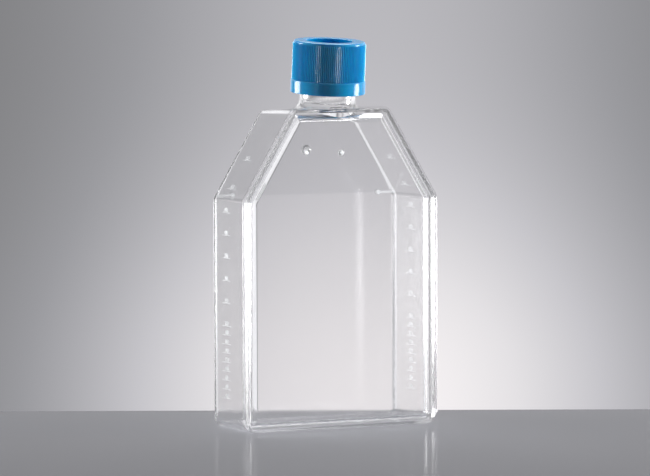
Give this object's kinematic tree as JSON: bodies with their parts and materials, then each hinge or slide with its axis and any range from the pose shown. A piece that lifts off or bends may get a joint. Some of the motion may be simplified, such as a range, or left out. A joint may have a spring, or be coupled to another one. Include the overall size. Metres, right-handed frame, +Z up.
{
  "type": "cell culture flask",
  "caption": "Clear tissue culture flask with sloped shoulders, a slightly angled neck and a ribbed, vented screw cap, standing on its flat end.",
  "frame": {"origin": "middle of the footprint, on the surface the flask stands on", "axes": "+Z up, X across the large faces, -Y the front (the top panel, towards which the neck leans) and +Y the back wall (the growth side)"},
  "size_m": [0.116, 0.0502, 0.2094],
  "materials": {
    "clear_body": "polished clear polystyrene",
    "clear_panel": "polished clear polystyrene",
    "blue_cap": "glossy blue polyethylene",
    "white_membrane": "matt white membrane"
  },
  "bodies": {
    "flask": {"flask_body": "clear_body", "top_panel": "clear_panel"},
    "membrane": {"vent_membrane": "white_membrane"},
    "cap": {"cap": "blue_cap"}
  },
  "joints": [
    {"name": "cap_rise", "type": "slide", "parent": "flask", "child": "membrane", "axis": [0, -0.0906, 0.9959], "range_m": [0, 0.042]},
    {"name": "cap_turn", "type": "hinge", "parent": "membrane", "child": "cap", "pos_m": [0, -0.00485, 0.1713], "axis": [0, -0.0906, 0.9959], "range_deg": [0, 2520]}
  ],
  "couplings": [
    {"joint": "cap_rise", "follows": "cap_turn", "m_per_rad": 0.00095492}
  ]
}
